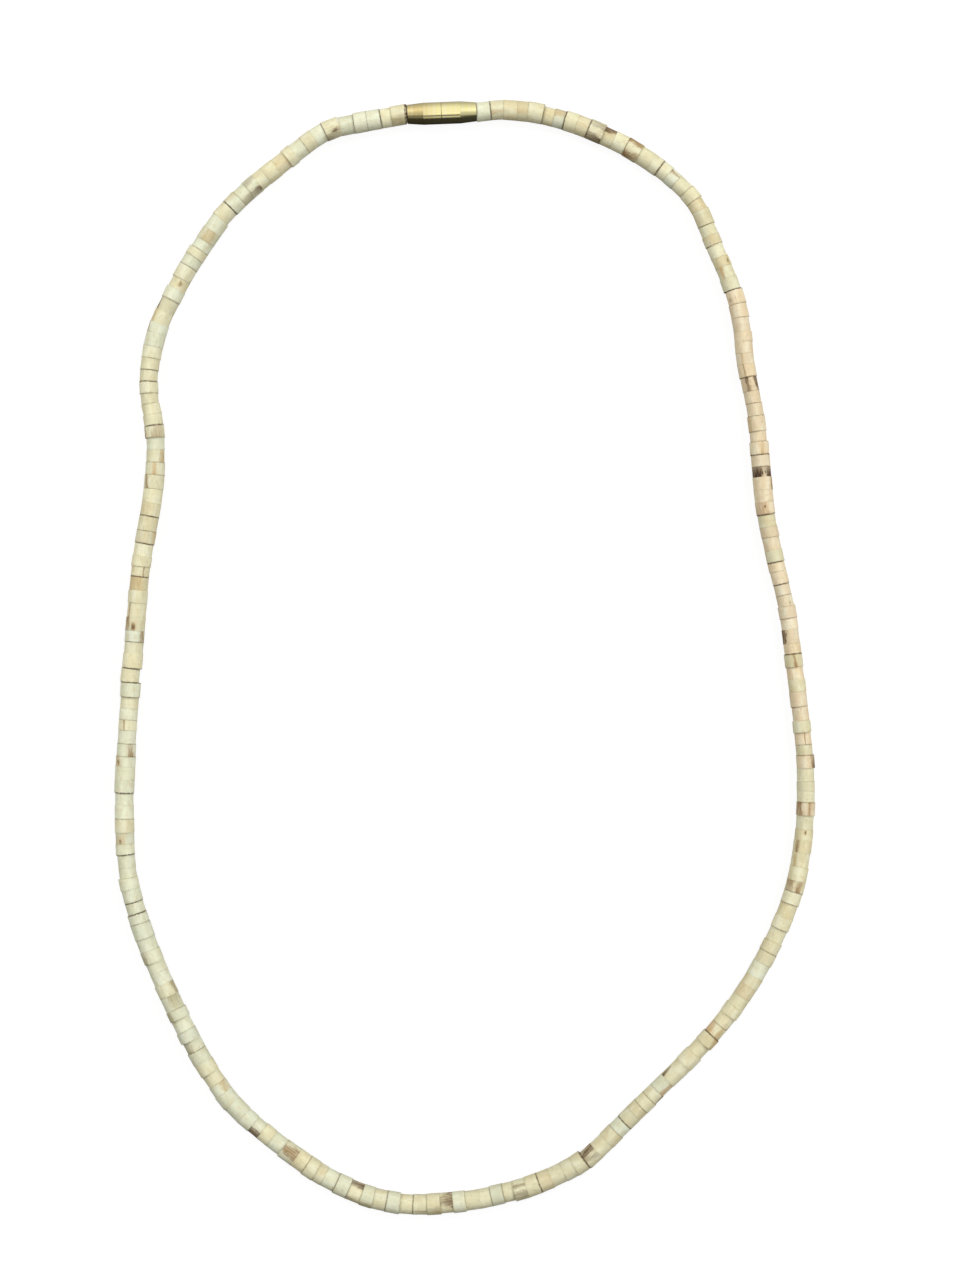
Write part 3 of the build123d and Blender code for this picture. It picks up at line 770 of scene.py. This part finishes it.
# %% Bead meshes
def joined_beads(kind):
    """One piece with all the beads of a kind, with their plan and the values for the shader."""
    members = [at for at, own in enumerate(bead_kinds) if own == kind]
    columns = max(1, round((len(members) * TILE_HIGH / TILE_WIDE) ** 0.5))
    rows = -(-len(members) // columns)
    sheet = max(columns * TILE_WIDE, rows * TILE_HIGH)
    vertices, faces, plans, values = [], [], [], {name: [] for name in VALUE_KINDS}
    for number, at in enumerate(members):
        bead = beads[at]
        points, outline = bead_points(bead, seams[at], seams[at + 1])
        told = bead_values(points, outline, bead, kind, bead_marks[at], seams[at], seams[at + 1])
        for name, rows_of in told.items():
            values[name].append(rows_of)
        axes = np.stack([bead.along, bead.outside, UP])
        faces.append(ring_faces(len(outline), AROUND) + sum(len(v) for v in vertices))
        vertices.append(points.reshape(-1, 3) @ axes + bead.middle)
        corner = np.array([number % columns * TILE_WIDE, number // columns * TILE_HIGH])
        plans.append((bead_plan(points, outline).reshape(-1, 2) + corner) / sheet)
    mesh = bpy.data.meshes.new("beads_" + kind)
    mesh.from_pydata(np.concatenate(vertices), [], np.concatenate(faces))
    plan = mesh.uv_layers.new(name="OFBake")
    plan.uv.foreach_set("vector", np.concatenate(plans).astype(np.float32).ravel())
    for name, storage in VALUE_KINDS.items():
        tell_vertices(mesh, name, storage, np.concatenate(values[name]))
    piece = finished_piece(mesh, wood_materials[kind], BEAD_SHARP)
    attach(piece, "root")
    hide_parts("bead_string")
    piece.visible_glossy = False
    print(len(members), "beads,", round(sheet / MM, 1), "mm of plan")


for kind in KINDS:
    joined_beads(kind)

# %% [markdown]
# ## The thread
# One twisted cotton thread runs through every bore. Only slivers of it show, where seams stand open and
# beside the clasp, so the frame's own solid is kept, and the twist is left to colour and bump.

# %% Thread material
STRAND_MM = 0.22
BAND_GAP = 0.31       # between two bands of a wave texture, at a scale of 1
COTTON_HUE, DIRTY_COTTON_HUE = "#D8C6A0", "#8C7450"


def twisted_cotton(tree):
    """Undyed cotton, twisted: soft and matt, with diagonal strands and dirt between them."""
    place = add_node(tree, "TexCoord").outputs["Object"]
    scale = (1 / MM, 1 / MM, 2 / MM)
    sized = add_node(tree, "VectorMath", {0: place, 1: scale}, operation="MULTIPLY")
    twist = {"Vector": sized, "Scale": BAND_GAP / STRAND_MM, "Distortion": 1.2, "Detail": 1.0}
    strands = add_node(tree, "TexWave", twist, bands_direction="DIAGONAL").outputs["Fac"]
    colour = add_node(tree, "Mix", {0: strands, 6: DIRTY_COTTON_HUE, 7: COTTON_HUE}, **COLOURS)
    bump = add_node(tree, "Bump", {"Height": strands, "Strength": 0.6, "Distance": 0.04 * MM})
    return {"Base Color": colour, "Normal": bump, "Roughness": 0.85, "Sheen Weight": 0.3}


thread = frame["nodes"]["thread"]
thread.data.materials.clear()
thread.data.materials.append(new_material("cotton_twisted_undyed", twisted_cotton))
print("thread material", thread.data.materials[0].name)

# %% [markdown]
# ## The brass screw barrel
# Both halves are turned from brass rod and polished. The barrel's edges catch the light as fine lines, so
# each half is turned again from an outline with held edges and a fine round at each corner. The stud, its
# socket and the rooms for the knots are kept, because they are the inside of the frame's solids.

# %% Clasp outlines
BARREL_R, END_R = 1.95 * MM, 1.675 * MM
SCREW_STRAIGHT, SOCKET_STRAIGHT = 3.40 * MM, 3.25 * MM
HALF_SEAM = 0.03 * MM
SEAM_FACE = 0.004 * MM       # the visible faces close the solids' gap nearly up
STUD_R, STUD_LENGTH = 1.15 * MM, 2.2 * MM
SOCKET_R, SOCKET_DEPTH = 1.21 * MM, 2.6 * MM
HOLE_R, ROOM_R = 0.37 * MM, 0.75 * MM
END_WALL = 0.70 * MM
END_ROUND, SEAM_ROUND, INNER_ROUND = 0.09 * MM, 0.05 * MM, 0.05 * MM
HELD = 0.03 * MM
ROUND_STEPS = 3
CLASP_AROUND = 96

Corner = namedtuple("Corner", ["along", "radius", "round"], defaults=[0])


def clasp_outline(straight, whole, inside):
    """A clasp half's outline from the seam outwards: straight, a crisp edge, the taper, then the inside."""
    slope = (BARREL_R - END_R) / (whole - straight)
    taper_end = whole - 2 * END_ROUND
    return [
        (SEAM_FACE, BARREL_R, SEAM_ROUND),
        (SEAM_FACE + 2 * SEAM_ROUND, BARREL_R),
        (straight - 2 * HELD, BARREL_R),
        (straight - HELD, BARREL_R),
        (straight + HELD, BARREL_R - HELD * slope),
        (straight + 2 * HELD, BARREL_R - 2 * HELD * slope),
        (taper_end, BARREL_R - (taper_end - straight) * slope),
        (whole, END_R, END_ROUND),
        (whole, HOLE_R, INNER_ROUND),
        (whole - END_WALL, HOLE_R, INNER_ROUND),
        (whole - END_WALL, ROOM_R, INNER_ROUND),
        *inside,
    ]


def with_rounds(corners):
    """The points of an outline, with the corners cut back to small rounds where they have one."""
    made = []
    corners = [Corner(*row) for row in corners]
    for at, corner in enumerate(corners):
        here = np.array(corner[:2])
        if not corner.round:
            made.append(here)
            continue
        into = np.array(corners[at - 1][:2]) - here
        out = np.array(corners[(at + 1) % len(corners)][:2]) - here
        start = here + into / np.linalg.norm(into) * corner.round
        end = here + out / np.linalg.norm(out) * corner.round
        for step in range(ROUND_STEPS + 1):
            share = step / ROUND_STEPS
            made.append((1 - share) ** 2 * start + 2 * share * (1 - share) * here + share ** 2 * end)
    return np.array(made)


screw_whole = screw_half.length - STUD_LENGTH
socket_whole = socket_half.length + HALF_SEAM
screw_outline = with_rounds(clasp_outline(SCREW_STRAIGHT, screw_whole, [
    (-STUD_LENGTH, ROOM_R, INNER_ROUND),
    (-STUD_LENGTH, STUD_R, INNER_ROUND),
    (SEAM_FACE, STUD_R),
]))
socket_outline = with_rounds(clasp_outline(SOCKET_STRAIGHT, socket_whole, [
    (SOCKET_DEPTH, ROOM_R, INNER_ROUND),
    (SOCKET_DEPTH, SOCKET_R, INNER_ROUND),
    (SEAM_FACE, SOCKET_R, INNER_ROUND),
]))
print("screw half, mm", round(screw_whole / MM, 2), "socket half, mm", round(socket_whole / MM, 2))

# %% [markdown]
# ## Polished brass as a material
# Brass is copper and zinc: a pale warm yellow that tints what it mirrors. Turning leaves rings so fine that
# polishing nearly closes them, and they draw each bright spot out along the barrel. Handling leaves a thin
# brown film of tarnish in patches, more of it on the socket half. Dirt stays in the seam, at the edges and
# at the two ends, where no cloth reaches; at the two ends the darkening is partly painted shade, where a
# bead stands close.

# %% Brass material
TURNING = Pattern(0.09, 5.4)            # real rings are 0.04 mm apart: drawn twice as coarse
WORN_BANDS = Pattern(0.45, 40.0, 1.0)   # bands that a cloth has rubbed brighter
TARNISH = Pattern(2.08, 1.3, 4.0, 0.6)
SOCKET_SHIFT = 30.0   # millimetres: the socket half's patterns start here, so that the halves differ
SOCKET_FILM_MM = 4.0  # from the seam on, its film thickens over this length
SOCKET_FILM = 0.42
# the last hue is grime, which at the two outer ends also stands for painted shade beside the beads
BRASS_HUE, FILM_HUE, WORN_HUE, GRIME_AND_SHADE_HUE = "#FBF0AF", "#DDB978", "#F5F2DC", "#2B2112"
POLISHED = 0.05       # the roughness where nothing dulls the brass


def polished_brass(tree):
    """Turned and polished brass: a clear yellow mirror with faint rings and a film of tarnish."""
    place = add_node(tree, "Attribute", attribute_name="grain").outputs["Vector"]
    dirt = add_node(tree, "Attribute", attribute_name="dirt").outputs["Fac"]
    rings, film, bands = [stretched_noise(tree, place, pattern)
                          for pattern in (TURNING, TARNISH, WORN_BANDS)]

    far_end = add_node(tree, "SeparateXYZ", {0: place}).outputs["X"]
    reach = {"Value": far_end, 1: SOCKET_SHIFT, 2: SOCKET_SHIFT + SOCKET_FILM_MM, 4: SOCKET_FILM}
    handled = add_node(tree, "MapRange", reach, **SMOOTH)
    patches = add_node(tree, "MapRange", {"Value": film, 1: 0.50, 2: 0.72, 4: 0.40}, **SMOOTH)
    filmed = add_node(tree, "Math", {0: patches, 1: handled}, operation="ADD")
    colour = add_node(tree, "Mix", {0: filmed, 6: BRASS_HUE, 7: FILM_HUE}, **COLOURS)
    colour = tinted(tree, colour, WORN_HUE, bands, 0.50, 0.66, 0.40)
    # grime darkens the brass where dirt lies, and at the outer ends also as painted shade beside the beads
    colour = add_node(tree, "Mix", {0: dirt, 6: colour, 7: GRIME_AND_SHADE_HUE}, **COLOURS)
    rough = POLISHED
    for pattern, most in ((rings, 0.08), (filmed, 0.20), (dirt, 0.35)):
        rough = add_node(tree, "Math", {0: pattern, 1: most, 2: rough}, operation="MULTIPLY_ADD")
    return {"Base Color": colour, "Roughness": rough, "Metallic": 1.0}


brass = new_material("brass_turned_polished", polished_brass)
print("clasp material", brass.name)

# %% Clasp meshes
# How dark the clasp is painted: dirt in the seam, at the edges and inside; at the two outer ends, where a
# bead stands close, partly dirt and partly painted shade.
DIRT_AND_SHADE_REACH = 0.08 * MM
SEAM_DIRT, EDGE_DIRT, END_DIRT_AND_SHADE, INNER_DIRT = 0.40, 0.15, 0.60, 0.90


def turned_half(name, outline, along, straight, whole, node, shift=0.0):
    """One half of the clasp, turned round the barrel's axis from its outline."""
    turn = np.arange(CLASP_AROUND) * 2 * pi / CLASP_AROUND
    x = np.repeat(outline[:, :1], CLASP_AROUND, axis=1)
    y, z = outline[:, 1:] * np.cos(turn), outline[:, 1:] * np.sin(turn)
    points = np.stack([x, y, z], axis=-1).reshape(-1, 3)
    axes = np.stack([along, np.cross(UP, along), UP])
    mesh = bpy.data.meshes.new(name)
    mesh.from_pydata(points @ axes + seam_middle, [], ring_faces(len(outline), CLASP_AROUND))
    inner = np.hypot(points[:, 1], points[:, 2]) < END_R - END_ROUND
    # dirt at the seam and the edge; at the outer end partly dirt, partly painted shade
    shade_and_dirt_share = sum(share * np.exp(-((points[:, 0] - place) / DIRT_AND_SHADE_REACH) ** 2)
                 for share, place in ((SEAM_DIRT, 0), (EDGE_DIRT, straight), (END_DIRT_AND_SHADE, whole)))
    tell_vertices(mesh, "grain", "FLOAT_VECTOR", points / MM + [shift, 0, 0])
    tell_vertices(mesh, "dirt", "FLOAT", np.where(inner, INNER_DIRT, shade_and_dirt_share))
    piece = finished_piece(mesh, brass, BRASS_SHARP)
    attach(piece, "root")
    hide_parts(node)


seam_middle = socket_half.middle + to_screw * (socket_half.length / 2 + HALF_SEAM)
turned_half("clasp_screw_turned", screw_outline, to_screw, SCREW_STRAIGHT, screw_whole, "clasp_screw")
turned_half("clasp_socket_turned", socket_outline, -to_screw, SOCKET_STRAIGHT, socket_whole, "clasp_socket",
            SOCKET_SHIFT)

# %% [markdown]
# ## Table, light and camera
# The photograph is taken from straight above, on white, in broad soft light that comes mostly from beyond
# the clasp, at the left and at the right. So soft panels stand round the table, strong on the far side and
# weak on the near side, which leaves the beads' near sides in shade. The beads show no white from below, so
# they lay on something darker than the white round them: the table is lit like a light table, pale to the
# camera, and it throws no light back at the beads.

# %% Table
TABLE_SIDE = 6.0
TABLE_GLOW = 0.90
TEETH_PER_MM = 0.9    # a paper's tooth is finer: drawn as coarse as it needs to show
PAPER_HUES = ("#686867", "#6C6C6B")


def matt_paper(tree):
    """Pale matt paper on a light table: no gloss, a fine tooth, and a glow that softens shadows."""
    place = add_node(tree, "TexCoord").outputs["Object"]
    tooth = add_node(tree, "TexNoise", {"Vector": place, "Scale": TEETH_PER_MM / MM, "Detail": 2.0})
    colour = add_node(tree, "Mix", {0: tooth, 6: PAPER_HUES[0], 7: PAPER_HUES[1]}, **COLOURS)
    return {"Base Color": colour, "Roughness": 0.95, "Specular IOR Level": 0.1,
            "Emission Color": "#FFFFFF", "Emission Strength": TABLE_GLOW}


half_table = TABLE_SIDE / 2
table_mesh = bpy.data.meshes.new("table")
table_mesh.from_pydata([(-half_table, -half_table, 0), (half_table, -half_table, 0),
                        (half_table, half_table, 0), (-half_table, half_table, 0)], [], [(0, 1, 2, 3)])
table_mesh.materials.append(new_material("paper_pale_matt", matt_paper))
table = put_in_scene("table", table_mesh)
table.visible_diffuse = False
table.visible_glossy = False

# %% Light
Panel = namedtuple("Panel", ["name", "bearing", "radiance"])
PANELS = [
    # bearing: degrees clockwise from beyond the clasp, seen from above
    Panel("far_right", bearing=45, radiance=5.8),
    Panel("right", bearing=90, radiance=4.5),
    Panel("near_right", bearing=135, radiance=2.0),
    Panel("near_left", bearing=225, radiance=0.7),
    Panel("left", bearing=270, radiance=3.0),
    Panel("far_left", bearing=315, radiance=6.0),
]
PANEL_LEAN = radians(52)      # down from straight above
PANEL_DISTANCE, PANEL_SIDE = 1.0, 0.52


def hang(panel):
    """A soft panel facing the middle of the table. Its power follows from how bright its face is."""
    light = bpy.data.lights.new("panel_" + panel.name, "AREA")
    light.shape = "SQUARE"
    light.size = PANEL_SIDE
    light.energy = panel.radiance * pi * PANEL_SIDE ** 2
    lamp = put_in_scene(light.name, light)
    bearing = radians(panel.bearing)
    away = Vector((sin(bearing) * sin(PANEL_LEAN), cos(bearing) * sin(PANEL_LEAN), cos(PANEL_LEAN)))
    lamp.location = away * PANEL_DISTANCE
    lamp.rotation_mode = "QUATERNION"
    lamp.rotation_quaternion = away.to_track_quat("Z", "Y")
    lamp.visible_camera = False
    lamp.visible_glossy = False


for panel in PANELS:
    hang(panel)
print("panels", len(PANELS))

# %% [markdown]
# ## What the polished barrel mirrors
# A polished barrel shows the room as stripes along its length, because it is curved one way only. Read from
# its far edge to its near edge, the real one mirrors a pale room beyond the clasp, a bright lamp almost
# overhead with a thin second stripe beside it, and the room's dark side, across from the clasp. Those tones
# go into the world, by the angle round the barrel. Only shiny surfaces see them: matt wood is lit by the
# panels, the floor's own shade from below and a little air.

# %% Room
# degrees from straight above towards the far side, and how bright the room is there. Over the barrel's
# middle: the dark side, the thin stripe, a dark gap, the lamp, the ceiling and the pale far wall.
ROOM_STRAIGHT = [(-180, 0.02), (-66, 0.05), (-53, 0.70), (-47, 0.70), (-41, 0.12), (-35, 0.12), (-25, 1.15),
                 (10, 1.10), (45, 1.05), (95, 0.60), (180, 0.30)]
# Off to either side: the dark side, a dim ceiling, the lamp further over, and the far wall
ROOM_ASIDE = [(-180, 0.02), (-46, 0.05), (-32, 0.50), (-10, 0.55), (17, 1.15), (33, 1.10), (55, 0.80),
              (105, 0.45), (180, 0.40)]
ROOM_BRIGHT = 1.25
ROOM_SLANT = 0.75    # the dark side reaches further up at the left: radians for each unit of X
ASIDE = (0.08, 0.22)  # from straight to aside, as the size of X
AIR, FROM_BELOW = "#3C3E40", "#8F8C86"
HORIZON = 0.05


def room_tones(tree, turn, tones):
    """The room's brightness by the angle round the barrel, as a share of the brightest tone."""
    ramp = add_node(tree, "ValToRGB", {"Fac": turn})
    elements = ramp.color_ramp.elements
    for degrees, _ in tones[1:-1]:
        elements.new((degrees + 180) / 360)
    for element, (degrees, bright) in zip(elements, tones):
        element.position = (degrees + 180) / 360
        element.color = (*[bright / ROOM_BRIGHT] * 3, 1.0)
    return ramp


def studio_air():
    """What shiny surfaces mirror, the air that lights matt ones, and the far table's tone for the camera."""
    world = bpy.data.worlds.new("studio")
    world.use_nodes = True
    tree = world.node_tree
    tree.nodes.clear()
    way = add_node(tree, "TexCoord").outputs["Generated"]
    x, y, z = add_node(tree, "SeparateXYZ", {0: way}).outputs
    angle = add_node(tree, "Math", {0: y, 1: z}, operation="ARCTAN2")
    angle = add_node(tree, "Math", {0: x, 1: ROOM_SLANT, 2: angle}, operation="MULTIPLY_ADD")
    turn = add_node(tree, "Math", {0: angle, 1: 0.5 / pi, 2: 0.5}, operation="MULTIPLY_ADD")
    aside = add_node(tree, "Math", {0: x}, operation="ABSOLUTE")
    straight_tones = room_tones(tree, turn, ROOM_STRAIGHT)
    room = tinted(tree, straight_tones, room_tones(tree, turn, ROOM_ASIDE), aside, *ASIDE, 1.0)
    brightest = (*[ROOM_BRIGHT] * 3, 1.0)
    room = add_node(tree, "Mix", {0: 1.0, 6: room, 7: brightest}, **COLOURS, blend_type="MULTIPLY")
    air = tinted(tree, FROM_BELOW, AIR, z, -HORIZON, HORIZON, 1.0)
    rays = add_node(tree, "LightPath").outputs
    seen = add_node(tree, "Mix", {0: rays["Is Glossy Ray"], 6: air, 7: room}, **COLOURS)
    glow = (*[TABLE_GLOW] * 3, 1.0)
    seen = add_node(tree, "Mix", {0: rays["Is Camera Ray"], 6: seen, 7: glow}, **COLOURS)
    background = add_node(tree, "Background", {"Color": seen})
    add_node(tree, "OutputWorld", {"Surface": background})
    bpy.context.scene.world = world


studio_air()
bpy.context.scene.view_settings.view_transform = "Standard"
print("world", bpy.context.scene.world.name)

# %% Camera
SENSOR = 36.0
CAMERA_X, CAMERA_Y, CAMERA_HEIGHT = 2.74 * MM, 3.10 * MM, 400 * MM
FRAME_HIGH = 230.4 * MM
BEAD_MIDDLE = 1.8 * MM

camera_data = bpy.data.cameras.new("camera")
camera_data.sensor_width = SENSOR
camera_data.lens = SENSOR * (CAMERA_HEIGHT - BEAD_MIDDLE) / FRAME_HIGH
camera_data.clip_start, camera_data.clip_end = 0.01, 20.0
camera = put_in_scene("camera", camera_data)
camera.location = (CAMERA_X, CAMERA_Y, CAMERA_HEIGHT)
bpy.context.scene.camera = camera
print("lens, mm", round(camera_data.lens, 1))
